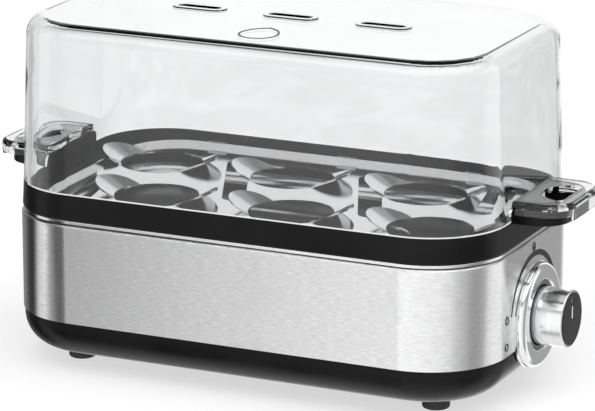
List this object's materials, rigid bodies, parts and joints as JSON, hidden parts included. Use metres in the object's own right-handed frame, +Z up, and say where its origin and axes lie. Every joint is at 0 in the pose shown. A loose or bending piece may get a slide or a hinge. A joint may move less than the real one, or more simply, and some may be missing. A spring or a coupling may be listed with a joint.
{
  "type": "egg cooker",
  "caption": "Electric egg cooker: steel-clad base with a heated bowl and a side dial, lift-out egg carrier with ears, clear vented lid with end handles.",
  "frame": {"origin": "middle of the plane of the feet, under the middle of the body", "axes": "+X to the dial end, -Y to the front, +Z up"},
  "size_m": [0.236, 0.1134, 0.1338],
  "materials": {
    "base_black": "semi-gloss, fine grain",
    "foot_rubber": "matt",
    "screw_steel": "zinc plated",
    "inner_black": "heat-resistant, matt",
    "brushed_jacket": "horizontal grain",
    "polished_bowl": "polished",
    "seal_rubber": "silicone",
    "plate_aluminium": "cast",
    "element_sheath": "heat-tinted sheath",
    "ceramic": "ceramic, matt",
    "phenolic": "moulded",
    "board_green": "solder mask",
    "heatsink_aluminium": "extruded",
    "capacitor_yellow": "moulded",
    "nylon": "moulded",
    "wire_sleeve": "insulated",
    "wire_silicone": "insulated",
    "dial_black": "semi-gloss",
    "bezel_chrome": "polished",
    "lens_smoke": "frosted",
    "print_black": "printed",
    "knob_aluminium": "satin, turned",
    "knob_black": "high gloss",
    "pointer_white": "inlaid",
    "marker_grey": "inlaid",
    "carrier_black": "semi-gloss",
    "tray_steel": "polished",
    "lid_clear": "clear moulded plastic",
    "mark_grey": "printed"
  },
  "bodies": {
    "base": {"base_shell": "base_black", "foot_pads": "foot_rubber", "base_screws": "screw_steel", "chassis": "inner_black", "steel_jacket": "brushed_jacket", "heating_bowl": "polished_bowl", "bowl_seal": "seal_rubber", "bowl_nuts": "screw_steel", "heater_plate": "plate_aluminium", "heating_element": "element_sheath", "element_terminals": "ceramic", "thermostat": "phenolic", "thermal_fuse": "ceramic", "heat_shield": "heatsink_aluminium", "shield_screws": "screw_steel", "control_board": "board_green", "board_screws": "screw_steel", "triac_heatsink": "heatsink_aluminium", "capacitor": "capacitor_yellow", "buzzer": "inner_black", "terminal_block": "nylon", "mains_wires": "wire_sleeve", "heater_wires": "wire_silicone", "cord_gland": "seal_rubber", "dial_housing": "dial_black", "dial_bezel": "bezel_chrome", "light_ring": "lens_smoke", "dial_scale": "print_black", "rotary_control": "phenolic", "control_nut": "screw_steel"},
    "knob": {"control_shaft": "knob_aluminium", "knob_hub": "dial_black", "knob_sleeve": "knob_aluminium", "knob_cap": "knob_black", "knob_pointer": "pointer_white", "knob_marker": "marker_grey"},
    "carrier": {"carrier_frame": "carrier_black", "egg_tray": "tray_steel", "tray_clips": "screw_steel"},
    "lid": {"lid": "lid_clear", "lid_mark": "mark_grey"}
  },
  "joints": [
    {"name": "knob_turn", "type": "hinge", "parent": "base", "child": "knob", "pos_m": [0.1, 0, 0.0297], "axis": [1, 0, 0], "range_deg": [-100, 100]},
    {"name": "carrier_lift", "type": "slide", "parent": "base", "child": "carrier", "axis": [0, 0, 1], "range_m": [0, 0.07]},
    {"name": "lid_lift", "type": "slide", "parent": "carrier", "child": "lid", "axis": [0, 0, 1], "range_m": [0, 0.09]}
  ]
}
